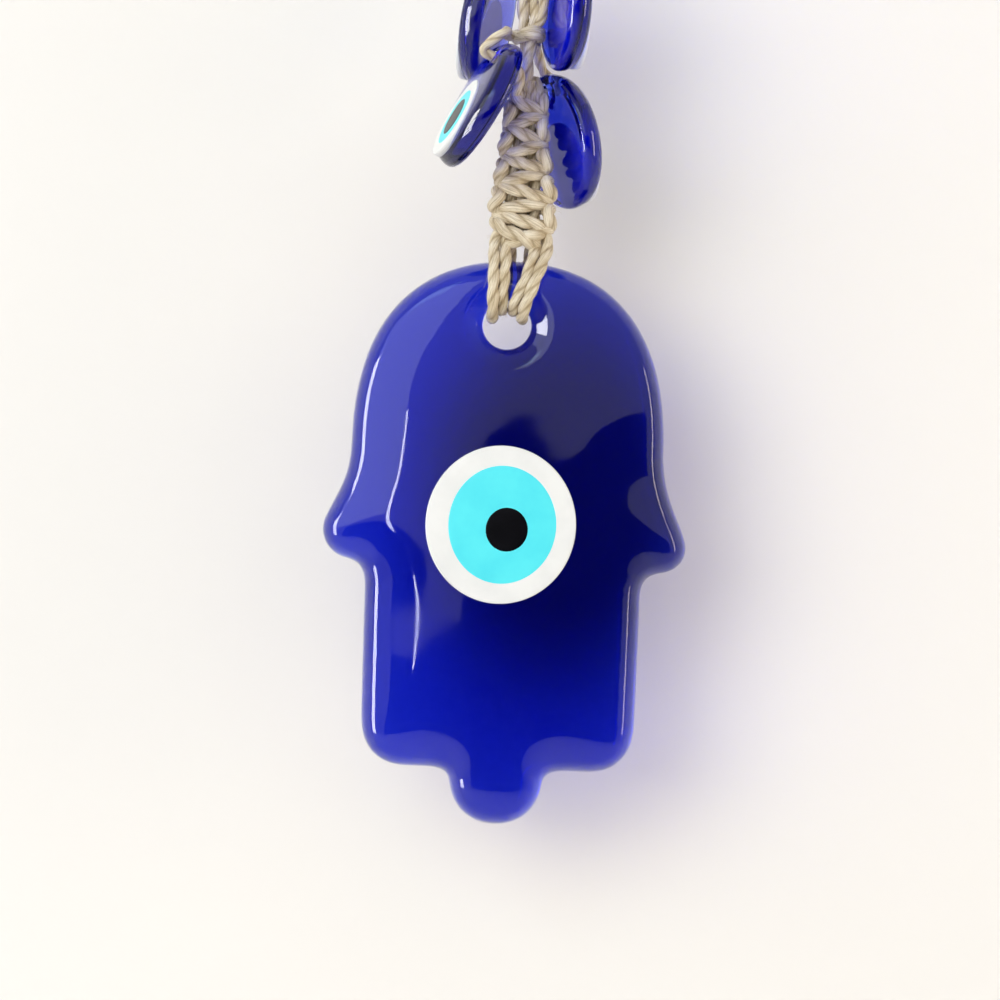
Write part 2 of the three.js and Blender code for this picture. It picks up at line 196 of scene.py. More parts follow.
def two_ply_tree():
    """Turns each line of a curve object into a twisted two-ply cord with stray fibres."""
    tree = bpy.data.node_groups.new("two_ply_cord", "GeometryNodeTree")
    face = tree.interface

    def entry(name, kind, value=None):
        socket = face.new_socket(name=name, in_out="INPUT", socket_type=kind)
        if value is not None:
            socket.default_value = value
        return socket

    entry("Geometry", "NodeSocketGeometry")
    entry("Radius", "NodeSocketFloat", CORD_RADIUS)
    entry("Twist Length", "NodeSocketFloat", TWIST_LENGTH)
    entry("Groove", "NodeSocketFloat", PLY_GROOVE)
    entry("Sides", "NodeSocketInt", CORD_SIDES)
    entry("Fibre Density", "NodeSocketFloat", FIBRES_PER_AREA)
    entry("Fibre Length", "NodeSocketFloat", FIBRE_LENGTH)
    entry("Seed", "NodeSocketInt", 1)
    entry("Cord Finish", "NodeSocketMaterial")
    entry("Fibre Finish", "NodeSocketMaterial")
    face.new_socket(name="Geometry", in_out="OUTPUT", socket_type="NodeSocketGeometry")

    link = tree.links.new
    given = node(tree, "NodeGroupInput")
    result = node(tree, "NodeGroupOutput")

    def maths(operation, first, second=None):
        made = node(tree, "ShaderNodeMath", operation=operation)
        for index, value in enumerate((first, second)):
            if value is None:
                continue
            if isinstance(value, (int, float)):
                made.inputs[index].default_value = value
            else:
                link(value, made.inputs[index])
        return made.outputs[0]

    # the twist: each line turns once in every twist length
    along = node(tree, "GeometryNodeSplineParameter")
    turns = maths("DIVIDE", along.outputs["Length"], given.outputs["Twist Length"])
    angle = maths("MULTIPLY", turns, 2 * math.pi)
    tilt = node(tree, "GeometryNodeSetCurveTilt")
    link(given.outputs["Geometry"], tilt.inputs["Curve"])
    link(angle, tilt.inputs["Tilt"])
    keep_angle = node(tree, "GeometryNodeCaptureAttribute", domain="POINT")
    keep_angle.capture_items.new("FLOAT", "twist")
    keep_angle.capture_items.new("FLOAT", "length")
    link(tilt.outputs["Curve"], keep_angle.inputs["Geometry"])
    link(angle, keep_angle.inputs["twist"])
    link(along.outputs["Length"], keep_angle.inputs["length"])

    # the section: two plies pressed together, with a groove on each side between them
    circle = node(tree, "GeometryNodeCurvePrimitiveCircle", mode="RADIUS")
    link(given.outputs["Sides"], circle.inputs["Resolution"])
    link(given.outputs["Radius"], circle.inputs["Radius"])
    around = node(tree, "GeometryNodeSplineParameter")
    heading = maths("MULTIPLY", around.outputs["Factor"], 2 * math.pi)
    ply = maths("POWER", maths("ABSOLUTE", maths("COSINE", heading)), 0.75)
    valley = maths("SUBTRACT", 1.0, ply)
    keep_heading = node(tree, "GeometryNodeCaptureAttribute", domain="POINT")
    keep_heading.capture_items.new("FLOAT", "heading")
    keep_heading.capture_items.new("FLOAT", "valley")
    link(circle.outputs["Curve"], keep_heading.inputs["Geometry"])
    link(heading, keep_heading.inputs["heading"])
    link(valley, keep_heading.inputs["valley"])
    inward = maths("SUBTRACT", 1.0, maths("MULTIPLY", valley, given.outputs["Groove"]))
    spot = node(tree, "GeometryNodeInputPosition")
    squeeze = node(tree, "ShaderNodeVectorMath", operation="SCALE")
    link(spot.outputs["Position"], squeeze.inputs["Vector"])
    link(inward, squeeze.inputs["Scale"])
    section = node(tree, "GeometryNodeSetPosition")
    link(keep_heading.outputs["Geometry"], section.inputs["Geometry"])
    link(squeeze.outputs["Vector"], section.inputs["Position"])

    tube = node(tree, "GeometryNodeCurveToMesh")
    tube.inputs["Fill Caps"].default_value = True
    link(keep_angle.outputs["Geometry"], tube.inputs["Curve"])
    link(section.outputs["Geometry"], tube.inputs["Profile Curve"])

    # the lay of the fibres: they run back against the twist, so that they lie nearly straight
    counter = maths("MULTIPLY", keep_angle.outputs["twist"], 0.72)
    lie = maths("ADD", keep_heading.outputs["heading"], counter)
    lay = node(tree, "ShaderNodeCombineXYZ")
    in_radii = maths("DIVIDE", keep_angle.outputs["length"], given.outputs["Radius"])
    link(in_radii, lay.inputs["X"])
    link(maths("COSINE", lie), lay.inputs["Y"])
    link(maths("SINE", lie), lay.inputs["Z"])
    store_lay = node(tree, "GeometryNodeStoreNamedAttribute", data_type="FLOAT_VECTOR", domain="POINT")
    store_lay.inputs["Name"].default_value = "lay"
    link(tube.outputs["Mesh"], store_lay.inputs["Geometry"])
    link(lay.outputs["Vector"], store_lay.inputs["Value"])
    # how far down in a groove each point lies, which the cord's finish turns into painted shade
    store_groove = node(tree, "GeometryNodeStoreNamedAttribute", data_type="FLOAT", domain="POINT")
    store_groove.inputs["Name"].default_value = "groove"
    link(store_lay.outputs["Geometry"], store_groove.inputs["Geometry"])
    link(keep_heading.outputs["valley"], store_groove.inputs["Value"])
    smooth = node(tree, "GeometryNodeSetShadeSmooth", domain="FACE")
    link(store_groove.outputs["Geometry"], smooth.inputs["Geometry"])
    cord_finish = node(tree, "GeometryNodeSetMaterial")
    link(smooth.outputs["Geometry"], cord_finish.inputs["Geometry"])
    link(given.outputs["Cord Finish"], cord_finish.inputs["Material"])

    # stray fibres: short bent hairs that leave the cord at random places and headings
    scatter = node(tree, "GeometryNodeDistributePointsOnFaces", distribute_method="RANDOM")
    link(tube.outputs["Mesh"], scatter.inputs["Mesh"])
    link(given.outputs["Fibre Density"], scatter.inputs["Density"])
    link(given.outputs["Seed"], scatter.inputs["Seed"])
    bend = node(tree, "GeometryNodeCurveQuadraticBezier")
    bend.inputs["Resolution"].default_value = 5
    bend.inputs["Start"].default_value = (0, 0, -0.06)
    bend.inputs["Middle"].default_value = (0.25, 0.1, 0.55)
    bend.inputs["End"].default_value = (1.0, -0.1, 0.45)
    hair_section = node(tree, "GeometryNodeCurvePrimitiveCircle", mode="RADIUS")
    hair_section.inputs["Resolution"].default_value = 3
    hair_section.inputs["Radius"].default_value = FIBRE_RADIUS / FIBRE_LENGTH
    hair = node(tree, "GeometryNodeCurveToMesh")
    hair.inputs["Fill Caps"].default_value = True
    link(bend.outputs["Curve"], hair.inputs["Curve"])
    link(hair_section.outputs["Curve"], hair.inputs["Profile Curve"])
    spin = node(tree, "FunctionNodeRandomValue", data_type="FLOAT")
    spin.inputs["Min"].default_value = 0
    spin.inputs["Max"].default_value = 2 * math.pi
    link(given.outputs["Seed"], spin.inputs["Seed"])
    spin_vector = node(tree, "ShaderNodeCombineXYZ")
    link(spin.outputs[1], spin_vector.inputs["Z"])
    turn = node(tree, "FunctionNodeRotateRotation", rotation_space="LOCAL")
    link(scatter.outputs["Rotation"], turn.inputs["Rotation"])
    link(spin_vector.outputs["Vector"], turn.inputs["Rotate By"])
    size = node(tree, "FunctionNodeRandomValue", data_type="FLOAT")
    size.inputs["Min"].default_value = 0.15
    size.inputs["Max"].default_value = 1.0
    link(given.outputs["Seed"], size.inputs["Seed"])
    scaled = maths("MULTIPLY", maths("POWER", size.outputs[1], 2.0), given.outputs["Fibre Length"])
    plant = node(tree, "GeometryNodeInstanceOnPoints")
    link(scatter.outputs["Points"], plant.inputs["Points"])
    link(hair.outputs["Mesh"], plant.inputs["Instance"])
    link(turn.outputs["Rotation"], plant.inputs["Rotation"])
    link(scaled, plant.inputs["Scale"])
    realized = node(tree, "GeometryNodeRealizeInstances")
    link(plant.outputs["Instances"], realized.inputs["Geometry"])
    fibre_finish = node(tree, "GeometryNodeSetMaterial")
    link(realized.outputs["Geometry"], fibre_finish.inputs["Geometry"])
    link(given.outputs["Fibre Finish"], fibre_finish.inputs["Material"])
    join = node(tree, "GeometryNodeJoinGeometry")
    link(fibre_finish.outputs["Geometry"], join.inputs["Geometry"])
    link(cord_finish.outputs["Geometry"], join.inputs["Geometry"])
    link(join.outputs["Geometry"], result.inputs["Geometry"])
    return tree


HEMP = hemp_material()
LOOSE_FIBRE = fibre_material()
TWO_PLY = two_ply_tree()


def smooth_route(points):
    """A centripetal curve through the points, in short even steps."""
    ends = [2 * points[0] - points[1], *points, 2 * points[-1] - points[-2]]
    dense = []
    for before, start, end, after in zip(ends, ends[1:], ends[2:], ends[3:]):
        knots = [0.0]
        for near, far in ((before, start), (start, end), (end, after)):
            knots.append(knots[-1] + max((far - near).length, 1e-9) ** 0.5)
        pieces = max(2, math.ceil(2 * (end - start).length / CORD_STEP))
        for piece in range(pieces):
            t = knots[1] + (knots[2] - knots[1]) * piece / pieces
            row = [before, start, end, after]
            for level in (1, 2, 3):
                row = [
                    near.lerp(far, (t - knots[low]) / (knots[high] - knots[low]))
                    for near, far, low, high in _spans(row, level)
                ]
            dense.append(row[0])
    dense.append(points[-1].copy())
    lengths = np.cumsum([0.0] + [(b - a).length for a, b in zip(dense, dense[1:])])
    count = max(2, round(lengths[-1] / CORD_STEP))
    wanted = np.linspace(0, lengths[-1], count + 1)
    columns = [np.interp(wanted, lengths, [p[axis] for p in dense]) for axis in range(3)]
    return [Vector(point) for point in zip(*columns)]


def _spans(row, level):
    """The pairs that one level of the curve's pyramid blends, and which knots they lie between."""
    first = {1: (0, 1, 2), 2: (0, 1), 3: (1,)}[level]
    last = {1: (1, 2, 3), 2: (2, 3), 3: (2,)}[level]
    return [(row[i], row[i + 1], first[i], last[i]) for i in range(len(row) - 1)]


def lay_cord(name, routes, seed, radius=CORD_RADIUS, fibres=1.0):
    """One mesh of two-ply cord along the given routes, each a list of points."""
    curve = bpy.data.curves.new(name, "CURVE")
    curve.dimensions = "3D"
    curve.twist_mode = "MINIMUM"
    for route in routes:
        spline = curve.splines.new("POLY")
        spline.points.add(len(route) - 1)
        spline.points.foreach_set("co", [value for point in route for value in (*point, 1)])
    line = bpy.data.objects.new(f"{name}_line", curve)
    bpy.context.scene.collection.objects.link(line)
    modifier = line.modifiers.new("two_ply_cord", "NODES")
    modifier.node_group = TWO_PLY
    entries = {
        item.name: item.identifier
        for item in TWO_PLY.interface.items_tree
        if item.in_out == "INPUT"
    }
    modifier[entries["Radius"]] = radius
    modifier[entries["Twist Length"]] = TWIST_LENGTH
    modifier[entries["Groove"]] = PLY_GROOVE
    modifier[entries["Sides"]] = CORD_SIDES
    modifier[entries["Fibre Density"]] = FIBRES_PER_AREA * fibres
    modifier[entries["Fibre Length"]] = FIBRE_LENGTH
    modifier[entries["Seed"]] = seed
    modifier[entries["Cord Finish"]] = HEMP
    modifier[entries["Fibre Finish"]] = LOOSE_FIBRE
    seen = line.evaluated_get(bpy.context.evaluated_depsgraph_get())
    mesh = bpy.data.meshes.new_from_object(seen)
    bpy.data.objects.remove(line)
    bpy.data.curves.remove(curve)
    mesh.name = name
    piece = bpy.data.objects.new(name, mesh)
    bpy.context.scene.collection.objects.link(piece)
    return piece


def in_metres(*points):
    return [Vector(point) * MM for point in points]


# ---------------------------------------------------------------------------------------------
# Hanging loop: the cord goes up from the top knot, over the nail and back down into the knot.
# It is a free, limp loop, and everything else hangs from it.
# ---------------------------------------------------------------------------------------------
loop_points = in_metres(
    (-0.3, 0, -36.6),
    (-1.6, 0, -30),
    (-3.4, 0, -20),
    (-5, 0, -11),
    (-5.6, 0, -4.55),
    (-3.96, 0, -0.59),
    (0, 0, 1.05),
    (3.96, 0, -0.59),
    (5.6, 0, -4.55),
    (5.2, 0, -11),
    (4.4, 0, -20),
    (3.3, 0, -30),
    (2.7, 0, -36.6),
)
loop_route = smooth_route(loop_points)
hanging_loop = lay_cord("hanging_loop_cord", [loop_route], seed=3)
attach(hanging_loop, "hanger")
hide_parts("hanging_loop")

# ---------------------------------------------------------------------------------------------
# Top knot: a tight overhand knot in the doubled cord closes the loop.
# It is a trefoil pulled down round its own middle.
# ---------------------------------------------------------------------------------------------
TREFOIL_STEPS = 36
knot_low, knot_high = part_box("top_knot")
knot_centre = (knot_low + knot_high) / 2
knot_half = (knot_high - knot_low) / 2 - Vector((1, 1, 1)) * CORD_RADIUS


def trefoil(turn):
    """A point on the overhand knot, with turn from 0 to 2 pi."""
    reach = (2 + math.cos(3 * turn)) / 3
    return knot_centre + Vector(
        (
            knot_half.x * reach * math.cos(2 * turn),
            knot_half.y * reach * math.sin(2 * turn),
            knot_half.z * math.sin(3 * turn),
        )
    )


trefoil_points = [trefoil(2 * math.pi * i / TREFOIL_STEPS) for i in range(TREFOIL_STEPS + 1)]
top_knot = lay_cord("top_knot_cord", [smooth_route(trefoil_points)], seed=5)
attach(top_knot, "hanger")
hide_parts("top_knot")

# ---------------------------------------------------------------------------------------------
# Core strands: two cords run the whole way down. They cross once on the way to the neck, and lie
# straight inside the knots. Four more join them in the lower, wider part of the string.
# ---------------------------------------------------------------------------------------------
core_low, core_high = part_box("core_front")
STRING_X = (core_low.x + core_high.x) / 2
CORE_OUT = 1.08 * MM
CORE_TOP = -43.5 * MM
CORE_FOOT = core_low.z
CORE_STEPS = 24
CORE_TURNS = ((-43.5, 0), (-63, 90), (-73, 180), (-107, 180))  # height, and degrees turned


def core_strand(side):
    """side is -1 in front and 1 behind at the top. The pair lies side by side above the neck."""
    points = []
    heights, turns = zip(*reversed(CORE_TURNS))
    for step in range(CORE_STEPS + 1):
        z = CORE_TOP + (CORE_FOOT - CORE_TOP) * step / CORE_STEPS
        angle = math.radians(np.interp(z / MM, heights, turns))
        x = STRING_X + CORE_OUT * math.sin(angle) * side
        points.append(Vector((x, CORE_OUT * math.cos(angle) * side, z)))
    return smooth_route(points)


def filler_strand(name):
    """One of the four that come in with the sennit and spread as it widens."""
    low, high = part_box(name)
    x = (low.x + high.x) / 2
    y = (low.y + high.y) / 2
    start = STRING_X + (x - STRING_X) * 0.35
    middle = STRING_X + (x - STRING_X) * 0.62
    route = [(start, y, -77 * MM), (middle, y, -84 * MM), (middle, y, -91 * MM)]
    route += [(x, y, high.z), (x, y, low.z)]
    return smooth_route([Vector(point) for point in route])


FILLERS = [f"filler_{side}_{hand}" for side in ("front", "back") for hand in ("left", "right")]
core = lay_cord(
    "core_strands",
    [core_strand(-1), core_strand(1), *(filler_strand(name) for name in FILLERS)],
    seed=7,
)
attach(core, "string")
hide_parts("core_front", "core_back", *FILLERS)

# ---------------------------------------------------------------------------------------------
# Sennit: nine half knots, tied alternately left and right round the core. One working cord
# zigzags across the front, and the other goes behind and comes out over it at each edge.
# ---------------------------------------------------------------------------------------------
KNOTS = [f"knot_{number:02d}" for number in range(1, 10)]
KNOT_PITCH = 2.8 * MM
BAR_OUT = 3.4 * MM
SENNIT_CORD = 2.75 * MM  # the working cords are the plumper ones
HAND_PLAY = 0.22 * MM  # how unevenly the knots are pulled tight
FRONT_TAIL = ((3.2, 3.2, -106.6), (0.2, 3.9, -107.7), (-2.4, 2.6, -109))  # right, out, height
BEHIND_TAIL = ((-3.6, 3.6, -106.2), (-0.9, 4.3, -107.2), (2.2, 3.2, -108.8), (3.2, 1.2, -109.4))
tying = random.Random(11)


def uneven(x, y, z):
    """A point of the knotting, off its even place as hand work is."""
    return Vector((x, y, z)) + Vector([tying.uniform(-HAND_PLAY, HAND_PLAY) for _ in range(3)])


def sennit_routes():
    front = [Vector((STRING_X - 1.1 * MM, -0.9 * MM, -76.5 * MM))]
    behind = [Vector((STRING_X + 1.1 * MM, 0.9 * MM, -76.5 * MM))]
    front.append(Vector((STRING_X - 2.5 * MM, -2.0 * MM, -79.3 * MM)))
    behind.append(Vector((STRING_X + 2.5 * MM, -0.6 * MM, -79.3 * MM)))
    for number, name in enumerate(KNOTS):
        low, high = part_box(name)
        z = (low.z + high.z) / 2
        edge = (high.x - low.x) / 2 - 0.55 * CORD_RADIUS
        inner = edge - 0.9 * CORD_RADIUS
        side = 1 if number % 2 == 0 else -1
        front += [
            uneven(STRING_X - side * inner * 0.62, -0.94 * BAR_OUT, z + 0.22 * KNOT_PITCH),
            uneven(STRING_X, -1.04 * BAR_OUT, z + 0.02 * KNOT_PITCH),
            uneven(STRING_X + side * inner * 0.62, -0.94 * BAR_OUT, z - 0.16 * KNOT_PITCH),
            uneven(STRING_X + side * edge, -0.36 * BAR_OUT, z - 0.5 * KNOT_PITCH),
        ]
        behind += [
            uneven(STRING_X + side * edge * 1.04, -0.8 * BAR_OUT, z + 0.12 * KNOT_PITCH),
            uneven(STRING_X + side * edge * 1.02, -0.3 * BAR_OUT, z - 0.2 * KNOT_PITCH),
            uneven(STRING_X + side * inner * 0.8, 0.72 * BAR_OUT, z - 0.1 * KNOT_PITCH),
            uneven(STRING_X, 1.02 * BAR_OUT, z),
            uneven(STRING_X - side * inner * 0.8, 0.72 * BAR_OUT, z + 0.1 * KNOT_PITCH),
            uneven(STRING_X - side * edge, -0.1 * BAR_OUT, z),
            uneven(STRING_X - side * edge * 0.92, -0.92 * BAR_OUT, z - 0.32 * KNOT_PITCH),
        ]
    for across, out, z in FRONT_TAIL:
        front.append(Vector((STRING_X + across * MM, -out * MM, z * MM)))
    for across, out, z in BEHIND_TAIL:
        behind.append(Vector((STRING_X + across * MM, -out * MM, z * MM)))
    return [smooth_route(front), smooth_route(behind)]


sennit = lay_cord("sennit_cords", sennit_routes(), seed=13, radius=SENNIT_CORD / 2)
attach(sennit, "string")
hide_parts(*KNOTS)

# ---------------------------------------------------------------------------------------------
# Neck and upper knots: each is an overhand turn of cord pulled tight round the core. It holds
# the ends of two bead strands.
# ---------------------------------------------------------------------------------------------
WRAP_TURNS = 2
WRAP_STEPS = 20


def wrapped_knot(upper, lower):
    """Turns round the core that slope down to the left in front."""
    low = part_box(lower)[0]
    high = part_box(upper)[1]
    half_x = (high.x - low.x) / 2 - 0.8 * CORD_RADIUS
    half_y = (high.y - low.y) / 2 - CORD_RADIUS
    top = high.z - 0.9 * CORD_RADIUS
    drop = high.z - low.z - 1.8 * CORD_RADIUS
    points = []
    for step in range(WRAP_STEPS + 1):
        share = step / WRAP_STEPS
        angle = math.radians(40) - share * WRAP_TURNS * 2 * math.pi
        x = STRING_X + half_x * math.cos(angle)
        slope = 0.28 * drop * math.cos(angle) * (1 if math.sin(angle) < 0 else -0.4)
        points.append(uneven(x, half_y * math.sin(angle), top - drop * share + slope))
    return smooth_route(points)


for knot_name, seed in (("upper_knot", 17), ("neck_knot", 19)):
    pair = [f"{knot_name}_a", f"{knot_name}_b"]
    knot = lay_cord(f"{knot_name}_cord", [wrapped_knot(*pair)], seed=seed)
    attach(knot, "string")
    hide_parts(*pair)

# ---------------------------------------------------------------------------------------------
# Mount cords: four cords come out of the foot of the sennit, go down in front of the glass,
# through the hole and up again behind, so that eight strands carry the hand.
# ---------------------------------------------------------------------------------------------
hand_low, hand_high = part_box("hamsa_glass")
HOLE_DOWN = 12.6 * MM
HOLE_X = -1 * MM
HOLE_RADIUS = 4.5 * MM
HOLE_Z = hand_high.z - HOLE_DOWN
CORD_RING = HOLE_RADIUS - 1.25 * MM
LEG_TOP = -108.5 * MM
# Place in the hole in degrees from its top, where the two legs start, how far they stand out.
MOUNT_CORDS = [
    (-63, -3.9, -2.9, 0.9),
    (-21, -1.6, -0.6, 0),
    (21, 4.1, 3.1, 0),
    (63, 6.4, 5.4, 0.9),
]


def leg(side, top_x, hole_x, hole_z, proud):
    """From inside the foot of the sennit down to the mouth of the hole."""

    def across(share):
        return top_x + (hole_x - top_x) * share

    return [
        Vector((STRING_X + (top_x - STRING_X) * 0.72, side * 1.7 * MM, LEG_TOP + 3.2 * MM)),
        Vector((top_x, side * 2.3 * MM, LEG_TOP)),
        Vector((across(0.2), side * 4.7 * MM, LEG_TOP - 3.9 * MM)),
        Vector((across(0.55), side * (5.7 * MM + 0.7 * proud), LEG_TOP - 8.2 * MM)),
        Vector((across(0.9), side * (5.5 * MM + proud), hole_z + 1.9 * MM)),
        Vector((hole_x, side * 3.6 * MM, hole_z + 0.1 * MM)),
    ]


mount_routes = []
for degrees, front_x, back_x, proud in MOUNT_CORDS:
    x = HOLE_X + CORD_RING * math.sin(math.radians(degrees))
    z = HOLE_Z + CORD_RING * math.cos(math.radians(degrees))
    down = leg(-1, front_x * MM, x, z, proud * MM)
    up = leg(1, back_x * MM, x, z, proud * MM)
    mount_routes.append(smooth_route([*down, Vector((x, 0, z)), *reversed(up)]))
mount_cords = lay_cord("mount_cords_twine", mount_routes, seed=23)
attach(mount_cords, "mount_cords")
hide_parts(*(f"mount_cord_{number}" for number in range(1, 5)))

# ---------------------------------------------------------------------------------------------
# Cobalt glass: the hand and the beads are poured from the same clear blue glass. It takes the
# red and green out of the light, so thick parts are nearly navy and thin ones a bright blue.
# ---------------------------------------------------------------------------------------------
GLASS_TINT = (0.0, 0.2, 0.9)
GLASS_DENSITY = 600
PAINTED_SHADE_CENTRE = Vector((11, 0, -158)) * MM  # where painted shade darkens the hand's glass most, right of its eye
PAINTED_SHADE_HALF = Vector((37, 30, 54)) * MM


def cobalt_material(name, density):
    """Clear glass that takes its colour from its depth, darkened by painted shade right of the hand's
    eye. Lamp rays pass it in straight lines.
    """
    material = bpy.data.materials.new(name)
    material.use_nodes = True
    tree = material.node_tree
    shader = tree.nodes["Principled BSDF"]
    shader.inputs["Transmission Weight"].default_value = 1
    shader.inputs["IOR"].default_value = 1.5
    place = node(tree, "ShaderNodeTexCoord")
    handling = node(tree, "ShaderNodeTexNoise")
    handling.inputs["Scale"].default_value = 90
    handling.inputs["Detail"].default_value = 4
    polish = node(tree, "ShaderNodeMapRange")
    polish.inputs["From Min"].default_value = 0.35
    polish.inputs["From Max"].default_value = 0.75
    polish.inputs["To Min"].default_value = 0.015
    polish.inputs["To Max"].default_value = 0.06
    waves = node(tree, "ShaderNodeTexNoise")
    waves.inputs["Scale"].default_value = 120
    waves.inputs["Detail"].default_value = 1
    bump = node(tree, "ShaderNodeBump")
    bump.inputs["Strength"].default_value = 0.1
    bump.inputs["Distance"].default_value = 0.15 * MM
    absorb = node(tree, "ShaderNodeVolumeAbsorption")
    absorb.inputs["Color"].default_value = (*GLASS_TINT, 1)
    absorb.inputs["Density"].default_value = density
    # Painted shade: the base colour darkens from nearly white to a dark grey-violet towards a spot
    # right of the hand's eye.
    to_painted_shade = node(tree, "ShaderNodeMapping")
    to_painted_shade.inputs["Location"].default_value = [
        -centre / half for centre, half in zip(PAINTED_SHADE_CENTRE, PAINTED_SHADE_HALF)
    ]
    to_painted_shade.inputs["Scale"].default_value = [1 / half for half in PAINTED_SHADE_HALF]
    painted_shade = node(tree, "ShaderNodeTexGradient", gradient_type="SPHERICAL")
    painted_shade_ramp = node(tree, "ShaderNodeValToRGB")
    painted_shade_ramp.color_ramp.interpolation = "EASE"
    ramp_colours(painted_shade_ramp, [(0.0, (0.96, 0.97, 1.0)), (0.62, (0.24, 0.2, 0.3))])
    lamp_ray = node(tree, "ShaderNodeLightPath")
    clear = node(tree, "ShaderNodeBsdfTransparent")
    clear.inputs["Color"].default_value = (0.62, 0.62, 0.62, 1)
    let_through = node(tree, "ShaderNodeMixShader")
    link = tree.links.new
    link(place.outputs["Object"], to_painted_shade.inputs["Vector"])
    link(to_painted_shade.outputs["Vector"], painted_shade.inputs["Vector"])
    link(painted_shade.outputs["Fac"], painted_shade_ramp.inputs["Fac"])
    link(painted_shade_ramp.outputs["Color"], shader.inputs["Base Color"])
    link(lamp_ray.outputs["Is Shadow Ray"], let_through.inputs["Fac"])
    link(shader.outputs["BSDF"], let_through.inputs[1])
    link(clear.outputs["BSDF"], let_through.inputs[2])
    link(let_through.outputs["Shader"], tree.nodes["Material Output"].inputs["Surface"])
    link(place.outputs["Object"], handling.inputs["Vector"])
    link(place.outputs["Object"], waves.inputs["Vector"])
    link(handling.outputs["Fac"], polish.inputs["Value"])
    link(polish.outputs["Result"], shader.inputs["Roughness"])
    link(waves.outputs["Fac"], bump.inputs["Height"])
    link(bump.outputs["Normal"], shader.inputs["Normal"])
    link(absorb.outputs["Volume"], tree.nodes["Material Output"].inputs["Volume"])
    return material


COBALT = cobalt_material("cobalt_glass", GLASS_DENSITY)


def edge_depth(points, edge):
    """How deep each point lies inside the outline, rounded off where two sides are equally near."""
    step = np.linalg.norm(np.roll(edge, -1, 0) - edge, axis=1)
    pull = np.zeros(len(points))
    for place, length in zip(edge, step):
        gap = ((points - place) ** 2).sum(1)
        pull += length / np.maximum(gap, 1e-12) ** 2
    return (2 / math.pi * pull) ** (-1 / 3)


def even_outline(outline, step):
    """A closed outline walked anticlockwise in even steps."""
    closed = np.vstack([outline, outline[:1]])
    lengths = np.concatenate([[0], np.cumsum(np.linalg.norm(np.diff(closed, axis=0), axis=1))])
    wanted = np.linspace(0, lengths[-1], round(lengths[-1] / step), endpoint=False)
    return np.column_stack([np.interp(wanted, lengths, closed[:, axis]) for axis in (0, 1)])


